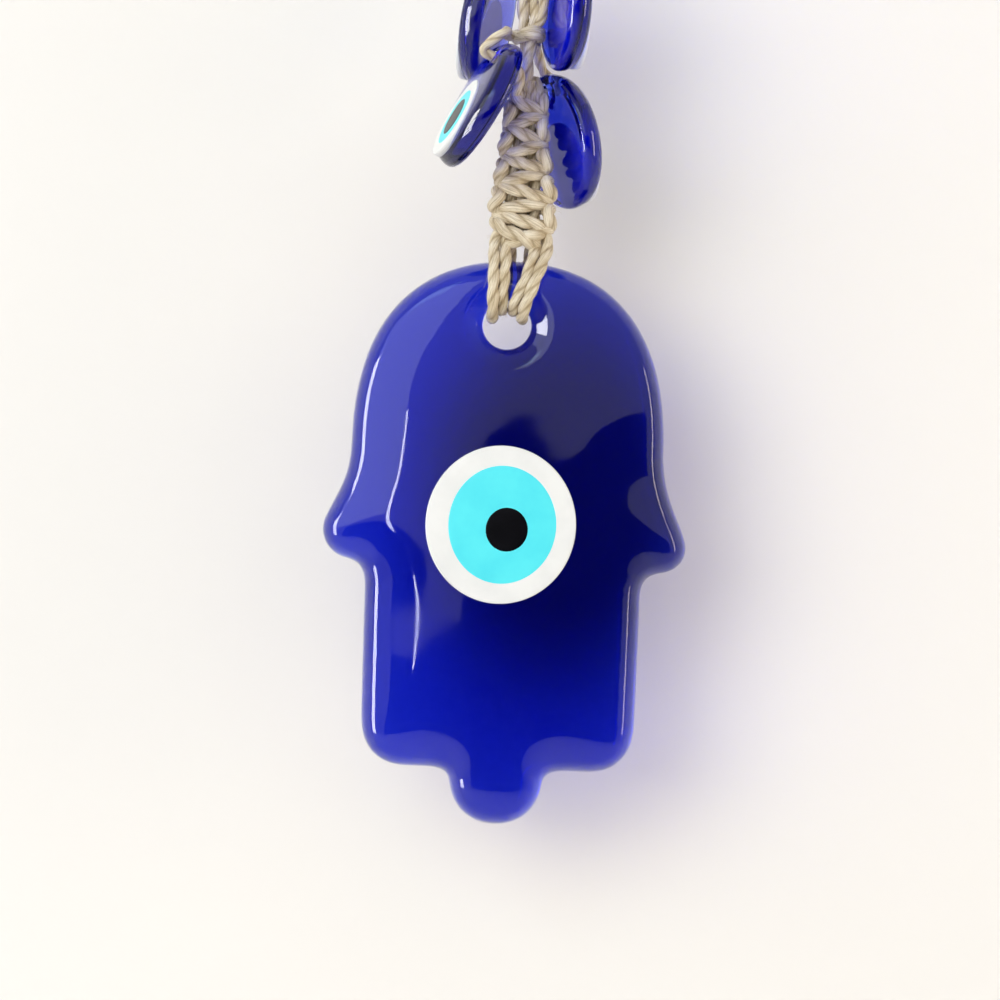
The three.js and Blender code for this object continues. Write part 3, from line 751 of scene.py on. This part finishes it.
def pour_glass(outline, shape, spacing):
    """A piece of poured glass: flat back, rounded rim, soft pillow of a front, a pierced hole.

    outline is in the plane of the piece, as (right, up). shape holds the sizes of its section.
    Points come back as (right, out, up), with out measured from the middle of the thickness.
    """
    edge = even_outline(outline, spacing)
    forward = np.roll(edge, -1, 0) - np.roll(edge, 1, 0)
    forward /= np.linalg.norm(forward, axis=1)[:, None]
    inward = np.column_stack([-forward[:, 1], forward[:, 0]])
    bore = np.array(shape["bore"])
    seam = shape["back_rim"] - shape["thick"] / 2
    inner_edge = edge + inward * shape["rim_inset"]
    inner_depth = edge_depth(inner_edge, edge)

    def swell(depth):
        return shape["rise"] * (1 - np.exp(-depth / shape["rise_reach"]))

    def around_bore(points):
        reach = np.linalg.norm(points - bore, axis=1) - shape["bore_radius"]
        slope = np.clip(reach / shape["funnel_width"], 0, 1)
        sunk = shape["funnel_depth"] * (1 - slope * slope * (3 - 2 * slope))
        lip = np.clip(1 - reach / shape["lip"], 0, 1)
        return sunk + shape["lip"] * (1 - np.sqrt(1 - lip**2))

    def waviness(points, depth):
        x, z = points.T / MM
        wave = np.sin(0.31 * x + 0.9) * np.cos(0.23 * z + 0.4) + 0.6 * np.sin(0.19 * z - 0.27 * x)
        return shape["waves"] * wave * (1 - np.exp(-depth / (4 * MM)))

    def front_out(points, depth, rim=1.0):
        raised = seam + shape["front_rim"] * rim + swell(depth)
        return raised + waviness(points, depth) - around_bore(points)

    def back_out(points, inset):
        corner = np.clip(1 - inset / shape["back_inset"], 0, 1)
        reach = np.linalg.norm(points - bore, axis=1) - shape["bore_radius"]
        lip = np.clip(1 - reach / shape["back_lip"], 0, 1)
        flat = seam - shape["back_rim"] * np.sqrt(1 - corner**2)
        return flat + shape["back_lip"] * (1 - np.sqrt(1 - lip**2))

    verts = []
    faces = []

    def add(points, out):
        start = len(verts)
        verts.extend((p[0], o, p[1]) for p, o in zip(points, out))
        return start

    def strip(first, second, count, outward):
        for i in range(count):
            j = (i + 1) % count
            quad = [first + i, first + j, second + j, second + i]
            faces.append(quad if outward else quad[::-1])

    # the rounded rim, from the seam in to where the front and the back are nearly flat
    turns = np.linspace(0, math.pi / 2, shape["rim_rings"])
    front_rings = []
    back_rings = []
    for turn in turns:
        inset = shape["rim_inset"] * (1 - math.cos(turn))
        ring = edge + inward * inset
        depth = inner_depth * inset / shape["rim_inset"]
        front_rings.append(add(ring, front_out(ring, depth, math.sin(turn))))
        back_rings.append(add(ring, back_out(ring, np.full(len(ring), inset))))
    for first, second in zip(front_rings, front_rings[1:]):
        strip(first, second, len(edge), True)
    for first, second in zip(back_rings, back_rings[1:]):
        strip(first, second, len(edge), False)

    # the mouth of the hole: close rings round the bore
    around = max(48, round(2 * math.pi * (shape["bore_radius"] + shape["lip"]) / (0.5 * spacing)))
    angles = np.linspace(0, 2 * math.pi, around, endpoint=False)
    circle = np.column_stack([np.cos(angles), np.sin(angles)])
    lip_radii = shape["bore_radius"] + shape["lip"] * (1 - np.cos(turns))
    mouth_front = []
    mouth_back = []
    for radius in lip_radii:
        ring = bore + circle * radius
        depth = edge_depth(ring, edge)
        mouth_front.append(add(ring, front_out(ring, depth)))
        mouth_back.append(add(ring, back_out(ring, np.full(len(ring), 1.0))))
    for first, second in zip(mouth_front, mouth_front[1:]):
        strip(first, second, around, False)
    for first, second in zip(mouth_back, mouth_back[1:]):
        strip(first, second, around, True)
    wall_rings = 6
    front_wall = np.array([verts[mouth_front[0] + i] for i in range(around)])
    back_wall = np.array([verts[mouth_back[0] + i] for i in range(around)])
    wall = [mouth_front[0]]
    for ring in range(1, wall_rings):
        share = ring / wall_rings
        middle = front_wall * (1 - share) + back_wall * share
        wall.append(add(middle[:, [0, 2]], middle[:, 1]))
    wall.append(mouth_back[0])
    for first, second in zip(wall, wall[1:]):
        strip(first, second, around, True)

    # the field between the rim and the hole, in small even triangles
    mouth = bore + circle * lip_radii[-1]
    low, high = edge.min(0), edge.max(0)
    rows = []
    row_height = spacing * math.sqrt(3) / 2
    for row in range(int((high[1] - low[1]) / row_height) + 1):
        shift = 0.5 * spacing if row % 2 else 0
        xs = np.arange(low[0] + shift, high[0], spacing)
        rows.append(np.column_stack([xs, np.full(len(xs), low[1] + row * row_height)]))
    grid = np.vstack(rows)
    to_edge = np.min(
        np.stack([((grid - place) ** 2).sum(1) for place in inner_edge]), axis=0
    )
    clear = np.sqrt(to_edge) > 0.62 * spacing
    clear &= np.linalg.norm(grid - bore, axis=1) > lip_radii[-1] + 0.62 * spacing
    clear &= _inside(grid, inner_edge)
    field = np.vstack([inner_edge, mouth, grid[clear]])
    count = len(edge)
    loops = [(i, (i + 1) % count) for i in range(count)]
    loops += [(count + i, count + (i + 1) % around) for i in range(around)]
    found = geometry.delaunay_2d_cdt([Vector(p) for p in field], loops, [], 1, 1e-7)
    field = np.array([tuple(p) for p in found[0]])
    triangles = []
    for triangle in found[2]:
        middle = field[list(triangle)].mean(0)
        if np.linalg.norm(middle - bore) > lip_radii[-1] * math.cos(math.pi / around):
            triangles.append(triangle)
    depth = edge_depth(field, edge)
    front = add(field, front_out(field, depth))
    back = add(field, back_out(field, np.full(len(field), 1.0)))
    for a, b, c in triangles:
        first, second, third = field[a], field[b], field[c]
        turn = np.cross(second - first, third - first)
        if turn < 0:
            b, c = c, b
        faces.append([front + a, front + b, front + c])
        faces.append([back + a, back + c, back + b])
    return verts, faces


def _inside(points, outline):
    """Which points lie inside a closed outline."""
    x, y = points.T
    within = np.zeros(len(points), bool)
    for (x1, y1), (x2, y2) in zip(outline, np.roll(outline, -1, 0)):
        if y1 == y2:
            continue
        crosses = (y1 > y) != (y2 > y)
        within ^= crosses & (x < (x2 - x1) * (y - y1) / (y2 - y1) + x1)
    return within


def mesh_piece(name, verts, faces, place, material):
    """A closed, smooth piece. Points are (right, out, up), and place turns them into the frame."""
    mesh = bpy.data.meshes.new(name)
    mesh.from_pydata([tuple(place @ Vector((x, -out, up))) for x, out, up in verts], [], faces)
    work = bmesh.new()
    work.from_mesh(mesh)
    bmesh.ops.remove_doubles(work, verts=work.verts, dist=0.002 * MM)
    bmesh.ops.recalc_face_normals(work, faces=work.faces)
    work.to_mesh(mesh)
    work.free()
    mesh.shade_smooth()
    mesh.materials.append(material)
    piece = bpy.data.objects.new(name, mesh)
    bpy.context.scene.collection.objects.link(piece)
    return piece


# ---------------------------------------------------------------------------------------------
# The hand: a hamsa poured into an open mould, fingers down, with two thumbs. The back is flat
# from the mould, the front is drawn into a pillow by surface tension, and the hole was pierced
# from the front while the glass was soft, which left a funnel.
# ---------------------------------------------------------------------------------------------
HALF_OUTLINE = [  # cubic curves from the top of the arch to the tip: control, control, end
    ((17, 0), (30.5, -10), (30.5, -36)),  # arch of the wrist
    ((30.5, -44), (33.4, -47.5), (35.2, -52.4)),  # flare of the thumb
    ((36.3, -55.4), (34.4, -58.8), (31, -59.4)),  # thumb tip
    ((28.4, -59.9), (27, -61), (26.9, -64.5)),  # notch under the thumb
    ((26.9, -73), (26.8, -82), (26.7, -89.5)),  # side of the fingers
    ((26.6, -95.8), (23.4, -99.2), (17.5, -99.2)),  # outer corner
    ((12.5, -99.2), (9.6, -98.8), (9, -102)),  # fillet to the middle finger
    ((8.3, -107), (4.8, -110), (0, -110)),  # rounded tip
]
THUMB_SKEW = 0.9
THUMB_DOWN = 53
THUMB_REACH = 14


def hand_outline():
    """The whole outline, anticlockwise as seen from the front, in metres below the top."""
    right = [Vector((0, 0))]
    for first, second, end in HALF_OUTLINE:
        start = right[-1]
        curve = geometry.interpolate_bezier(
            start.to_3d(), Vector((*first, 0)), Vector((*second, 0)), Vector((*end, 0)), 40
        )
        right += [point.to_2d() for point in curve[1:]]
    left = [Vector((-point.x, point.y)) for point in right[-2:0:-1]]
    whole = np.array([tuple(point) for point in right + left])
    reach = np.maximum(0, 1 - np.abs(whole[:, 1] + THUMB_DOWN) / THUMB_REACH)
    whole[:, 1] -= THUMB_SKEW * reach * whole[:, 0] / 35
    return whole[::-1] * MM


HAND_SHAPE = {
    "thick": hand_high.y - hand_low.y,
    "bore": (HOLE_X, -HOLE_DOWN),
    "bore_radius": 4.75 * MM,
    "front_rim": 4.6 * MM,
    "back_rim": 1.5 * MM,
    "rim_inset": 3.1 * MM,
    "back_inset": 1.3 * MM,
    "rim_rings": 12,
    "rise": 2.75 * MM,
    "rise_reach": 5.2 * MM,
    "funnel_width": 4.6 * MM,
    "funnel_depth": 1.9 * MM,
    "lip": 1.5 * MM,
    "back_lip": 0.8 * MM,
    "waves": 0.02 * MM,
}
hand_place = Matrix.Translation((0, (hand_low.y + hand_high.y) / 2, hand_high.z))
hand_verts, hand_faces = pour_glass(hand_outline(), HAND_SHAPE, 0.62 * MM)
hand_glass = mesh_piece("hamsa_glass_hand", hand_verts, hand_faces, hand_place, COBALT)
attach(hand_glass, "hamsa")
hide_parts("hamsa_glass")

# ---------------------------------------------------------------------------------------------
# Eyes: dots of opaque glass laid one on another while hot, white, then turquoise, then black.
# They sink into the blue glass until they stand only a little proud, with soft edges.
# ---------------------------------------------------------------------------------------------


def enamel_material(name, colour, shade, roughness, shine=0.22):
    """Opaque glass with faint clouding and a satin skin."""
    material = bpy.data.materials.new(name)
    material.use_nodes = True
    tree = material.node_tree
    shader = tree.nodes["Principled BSDF"]
    shader.inputs["Coat Weight"].default_value = 0.05
    shader.inputs["Coat Roughness"].default_value = 0.12
    shader.inputs["Specular IOR Level"].default_value = shine
    place = node(tree, "ShaderNodeTexCoord")
    clouds = node(tree, "ShaderNodeTexNoise")
    clouds.inputs["Scale"].default_value = 160
    clouds.inputs["Detail"].default_value = 3
    tint = node(tree, "ShaderNodeValToRGB")
    ramp_colours(tint, [(0.3, shade), (0.62, colour)])
    skin = node(tree, "ShaderNodeMapRange")
    skin.inputs["From Min"].default_value = 0.3
    skin.inputs["From Max"].default_value = 0.7
    skin.inputs["To Min"].default_value = roughness * 0.85
    skin.inputs["To Max"].default_value = roughness * 1.15
    bump = node(tree, "ShaderNodeBump")
    bump.inputs["Strength"].default_value = 0.08
    bump.inputs["Distance"].default_value = 0.1 * MM
    link = tree.links.new
    link(place.outputs["Object"], clouds.inputs["Vector"])
    link(clouds.outputs["Fac"], tint.inputs["Fac"])
    link(tint.outputs["Color"], shader.inputs["Base Color"])
    link(clouds.outputs["Fac"], skin.inputs["Value"])
    link(skin.outputs["Result"], shader.inputs["Roughness"])
    link(clouds.outputs["Fac"], bump.inputs["Height"])
    link(bump.outputs["Normal"], shader.inputs["Normal"])
    return material


OPAL_WHITE = enamel_material("opal_white", (0.86, 0.865, 0.86), (0.8, 0.81, 0.81), 0.38)
TURQUOISE = enamel_material("turquoise_glass", (0.105, 0.83, 0.92), (0.085, 0.76, 0.88), 0.36)
BLACK_GLASS = enamel_material("black_glass", (0.003, 0.003, 0.005), (0.001, 0.001, 0.002), 0.26, 0.1)
ENAMELS = {"white": OPAL_WHITE, "turquoise": TURQUOISE, "pupil": BLACK_GLASS}


def dot(half_width, half_height, centre, low, high, wobble):
    """A flat round drop of glass: rounded edge, faint dome, outline a little off a true oval."""
    sides = 120
    edge_radius = min(0.28 * MM, high - low)
    rings = [(0.0, low), (0.5, low), (0.96, low), (1.0, low)]
    for step in range(5):
        turn = math.pi / 2 * step / 4
        inset = edge_radius * (1 - math.cos(turn))
        rings.append((1 - inset / half_width, high - edge_radius * (1 - math.sin(turn))))
    dome = 0.05 * half_width / (8 * MM) * MM
    for share in (0.9, 0.75, 0.55, 0.3, 0.0):
        rings.append((share, high + dome * (1 - share**2)))
    verts = []
    faces = []
    starts = []
    for share, out in rings:
        starts.append(len(verts))
        for side in range(1 if share == 0 else sides):
            angle = 2 * math.pi * side / sides
            swing = 1 + wobble * (math.sin(2 * angle + 0.7) + 0.6 * math.sin(3 * angle + 2.1))
            x = centre[0] + half_width * share * swing * math.cos(angle)
            verts.append((x, out, centre[1] + half_height * share * swing * math.sin(angle)))
    for (first, inner), (second, outer) in zip(zip(starts, rings), zip(starts[1:], rings[1:])):
        for side in range(sides):
            other = (side + 1) % sides
            if inner[0] == 0:
                faces.append([first, second + side, second + other])
            elif outer[0] == 0:
                faces.append([first + side, first + other, second])
            else:
                faces.append([first + side, first + other, second + other, second + side])
    return verts, faces


NESTING = 0.35  # how much less deep each layer is sunk than the one under it


def lay_eye(prefix, body, place, dots, surface, sunk):
    """dots are (layer, half width, half height, centre, top above the surface, wobble)."""
    for level, (layer, half_width, half_height, centre, top, wobble) in enumerate(dots):
        foot = surface - sunk * (1 - NESTING * level)
        verts, faces = dot(half_width, half_height, centre, foot, surface + top, wobble)
        piece = mesh_piece(f"{prefix}_{layer}_glass", verts, faces, place, ENAMELS[layer])
        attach(piece, body)
        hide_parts(f"{prefix}_{layer}")


EYE_X = -0.8 * MM
EYE_DOWN = 51.5 * MM
hand_surface = HAND_SHAPE["back_rim"] - HAND_SHAPE["thick"] / 2 + HAND_SHAPE["front_rim"]
hand_surface += HAND_SHAPE["rise"]
lay_eye(
    "hamsa_eye",
    "hamsa",
    hand_place,
    [
        ("white", 14.6 * MM, 15.4 * MM, (EYE_X, -EYE_DOWN), 0.3 * MM, 0.0025),
        ("turquoise", 10.6 * MM, 11.65 * MM, (EYE_X + 0.3 * MM, -EYE_DOWN), 0.38 * MM, 0.004),
        ("pupil", 4.25 * MM, 4.45 * MM, (EYE_X + 1.2 * MM, -EYE_DOWN - 0.9 * MM), 0.46 * MM, 0.004),
    ],
    hand_surface,
    sunk=0.35 * MM,
)

# ---------------------------------------------------------------------------------------------
# Beads: four thick discs of the same glass, each pierced near its rim and threaded on a strand
# of its own, so that it hangs freely beside the string. The eye sits low on the face.
# ---------------------------------------------------------------------------------------------
BEADS = ["upper_left", "upper_right", "lower_left", "lower_right"]
BEAD_RADIUS = 13.4 * MM
BEAD_THICK = 5 * MM
BEAD_HOLE_UP = 9.6 * MM
BEAD_EYE_DOWN = 4.6 * MM
DOME_AT_EYE = 0.97  # share of the full rise that the face has reached where the eye lies
BEAD_SHAPE = {
    "thick": BEAD_THICK,
    "bore": (0, BEAD_HOLE_UP),
    "bore_radius": 1.8 * MM,
    "front_rim": 2.6 * MM,
    "back_rim": 1.5 * MM,
    "rim_inset": 2.1 * MM,
    "back_inset": 1.4 * MM,
    "rim_rings": 9,
    "rise": 0.95 * MM,
    "rise_reach": 2.6 * MM,
    "funnel_width": 2.2 * MM,
    "funnel_depth": 0.45 * MM,
    "lip": 0.45 * MM,
    "back_lip": 0.35 * MM,
    "waves": 0.03 * MM,
}


def bead_outline():
    turns = np.linspace(0, 2 * math.pi, 180, endpoint=False)
    swell = 1 + 0.006 * np.sin(2 * turns + 0.5) + 0.004 * np.sin(3 * turns + 1.1)
    return np.column_stack([np.cos(turns), np.sin(turns)]) * (BEAD_RADIUS * swell)[:, None]


def bead_place(name):
    """Where a bead hangs: its disc's middle from its box, its face and its hole from its joint."""
    low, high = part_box(f"bead_{name}_glass")
    centre = (low + high) / 2
    joint = joints[f"bead_{name}_spin"]
    face = Vector(joint["axis"]).normalized()
    up = Vector(joint["pos_m"]) - centre
    up = (up - up.dot(face) * face).normalized()
    right = up.cross(face)
    turned = Matrix((right, -face, up)).transposed().to_4x4()
    return Matrix.Translation(centre) @ turned


bead_verts, bead_faces = pour_glass(bead_outline(), BEAD_SHAPE, 0.55 * MM)
bead_surface = BEAD_SHAPE["back_rim"] - BEAD_THICK / 2 + BEAD_SHAPE["front_rim"]
bead_surface += BEAD_SHAPE["rise"] * DOME_AT_EYE
EYE_CENTRE = (0, -BEAD_EYE_DOWN)
for bead in BEADS:
    place = bead_place(bead)
    glass = mesh_piece(f"bead_{bead}_disc", bead_verts, bead_faces, place, COBALT)
    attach(glass, f"bead_{bead}")
    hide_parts(f"bead_{bead}_glass")
    lay_eye(
        f"bead_{bead}",
        f"bead_{bead}",
        place,
        [
            ("white", 8.2 * MM, 8.3 * MM, EYE_CENTRE, 0.2 * MM, 0.006),
            ("turquoise", 6 * MM, 6 * MM, EYE_CENTRE, 0.28 * MM, 0.006),
            ("pupil", 4 * MM, 4 * MM, EYE_CENTRE, 0.36 * MM, 0.006),
        ],
        bead_surface,
        sunk=1.1 * MM,
    )

# ---------------------------------------------------------------------------------------------
# Bead strands: each leaves the knots above its bead, goes over the rim, in at the face, out at
# the back and down into the knots below.
# ---------------------------------------------------------------------------------------------
STRAND_OUT = BEAD_THICK / 2 + 1.45 * MM
STRAND_RIM = BEAD_RADIUS + 1.45 * MM
UPPER_KNOT = (1.2, 0, -48.2)
NECK_KNOT = (1.2, 0, -68)
SENNIT_HEAD = (1.2, 0, -82.5)
# Each strand's crossing of the rim (right, out), its top, its foot, and the knots that hold it.
BEAD_STRANDS = {
    "upper_left": ((-0.5, 1.5), (-3.1, 2.4, -46.6), (0, 2.7, -64.6), UPPER_KNOT, NECK_KNOT),
    "upper_right": ((0.5, 1.5), (5.5, -1.4, -46.4), (3.6, -1.2, -64.6), UPPER_KNOT, NECK_KNOT),
    "lower_left": ((0.5, 2), (-3.1, -2.4, -68.4), (-0.6, -3.4, -79.6), NECK_KNOT, SENNIT_HEAD),
    "lower_right": ((6.6, 1.9), (2.4, 5.6, -68.5), (2.6, 3.4, -79.6), NECK_KNOT, SENNIT_HEAD),
}
STRAND_CORD = 2.1 * MM  # a little slimmer, so that the beads swing clear of it
TUCK = 0.62  # how much of the way from its end to the middle of the knot a strand is tucked in
for seed, (bead, (rim, top, foot, above, below)) in enumerate(BEAD_STRANDS.items(), 31):
    place = bead_place(bead)
    across, out = rim[0] * MM, rim[1] * MM
    over_rim = place @ Vector((across, -out, math.sqrt(STRAND_RIM**2 - across**2)))
    face = place @ Vector((0, -STRAND_OUT, BEAD_HOLE_UP))
    hole = place @ Vector((0, 0, BEAD_HOLE_UP))
    back = place @ Vector((0, STRAND_OUT, BEAD_HOLE_UP))
    top, foot, above, below = in_metres(top, foot, above, below)
    head = [top.lerp(above, TUCK), top]
    tail = [foot, foot.lerp(below, TUCK)]
    route = smooth_route([*head, over_rim, face, hole, back, *tail])
    strand = lay_cord(f"bead_twine_{bead}", [route], seed, STRAND_CORD / 2, fibres=0.4)
    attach(strand, f"strand_{bead}")
    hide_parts(f"bead_strand_{bead}")

# ---------------------------------------------------------------------------------------------
# The room: a pale wall close behind, which is clear from its back so that the ornament is seen
# from there too, a pale floor far below, soft light from the left and a dark screen in front.
# ---------------------------------------------------------------------------------------------
WALL_Y = 31 * MM
WALL_HALF = 1.6
WALL_TOP = 1.2
FLOOR_Z = -0.62
FLOOR_HALF = 4


def plain_material(name, colour, see_through_back=False):
    material = bpy.data.materials.new(name)
    material.use_nodes = True
    tree = material.node_tree
    shader = tree.nodes["Principled BSDF"]
    shader.inputs["Base Color"].default_value = (*colour, 1)
    shader.inputs["Roughness"].default_value = 0.9
    shader.inputs["Specular IOR Level"].default_value = 0.1
    if see_through_back:
        side = node(tree, "ShaderNodeNewGeometry")
        clear = node(tree, "ShaderNodeBsdfTransparent")
        mix = node(tree, "ShaderNodeMixShader")
        tree.links.new(side.outputs["Backfacing"], mix.inputs["Fac"])
        tree.links.new(shader.outputs["BSDF"], mix.inputs[1])
        tree.links.new(clear.outputs["BSDF"], mix.inputs[2])
        tree.links.new(mix.outputs["Shader"], tree.nodes["Material Output"].inputs["Surface"])
    return material


def stage_plane(name, corners, material):
    mesh = bpy.data.meshes.new(name)
    mesh.from_pydata(corners, [], [tuple(range(len(corners)))])
    mesh.materials.append(material)
    plane = bpy.data.objects.new(name, mesh)
    bpy.context.scene.collection.objects.link(plane)


stage_plane(
    "wall",
    [
        (-WALL_HALF, WALL_Y, FLOOR_Z),
        (WALL_HALF, WALL_Y, FLOOR_Z),
        (WALL_HALF, WALL_Y, WALL_TOP),
        (-WALL_HALF, WALL_Y, WALL_TOP),
    ],
    plain_material("wall_paint", (0.93, 0.905, 0.875), see_through_back=True),
)
stage_plane(
    "floor",
    [
        (-FLOOR_HALF, -FLOOR_HALF, FLOOR_Z),
        (FLOOR_HALF, -FLOOR_HALF, FLOOR_Z),
        (FLOOR_HALF, FLOOR_HALF, FLOOR_Z),
        (-FLOOR_HALF, FLOOR_HALF, FLOOR_Z),
    ],
    plain_material("floor_paint", (0.8, 0.79, 0.78)),
)


def soft_light(name, place, target, width, height, power, colour=(1, 1, 1)):
    light = bpy.data.lights.new(name, "AREA")
    light.shape = "RECTANGLE"
    light.size = width
    light.size_y = height
    light.energy = power
    light.color = colour
    lamp = bpy.data.objects.new(name, light)
    lamp.location = place
    lamp.rotation_euler = (Vector(target) - Vector(place)).to_track_quat("-Z", "Y").to_euler()
    bpy.context.scene.collection.objects.link(lamp)
    return lamp


# A dark screen with a stepped outline stands behind the camera. Its reflection darkens the glass.
SCREEN_Y = -1.45
stage_plane(
    "screen",
    [
        (-0.6, SCREEN_Y, -1.1),
        (-0.6, SCREEN_Y, -0.23),
        (-0.05, SCREEN_Y, -0.23),
        (-0.05, SCREEN_Y, -0.13),
        (1.0, SCREEN_Y, 0.0),
        (1.0, SCREEN_Y, -1.1),
    ],
    plain_material("screen_cloth", (0.02, 0.02, 0.022)),
)

AIM = (0, 0, -0.16)
soft_light("window", (-0.85, -1.1, 0.3), AIM, 1.6, 1.0, 7.2, (0.93, 0.985, 1))
soft_light("sky", (-0.62, -1.2, 0.75), AIM, 0.6, 0.35, 1.2, (0.5, 0.82, 1))
soft_light("door", (-0.17, -0.95, -0.17), AIM, 0.011, 0.12, 0.06)
soft_light("room_right", (1.1, -0.35, -0.1), AIM, 0.2, 0.7, 3.2, (1, 0.86, 0.7))

# The key lights everything but is kept out of reflections. The side window is seen only in
# reflections, as a long bright line on the rounded rims.
key = soft_light("key", (-0.75, -1.1, 0.15), AIM, 0.7, 0.7, 3.9, (1, 0.985, 0.96))
key.visible_glossy = False
side_window = soft_light("side_window", (-1.08, -0.5, -0.2), AIM, 0.55, 0.9, 24)
side_window.visible_diffuse = False

world = bpy.data.worlds.new("room")
world.use_nodes = True
world.node_tree.nodes["Background"].inputs["Color"].default_value = (1, 0.965, 0.92, 1)
world.node_tree.nodes["Background"].inputs["Strength"].default_value = 0.66
bpy.context.scene.world = world
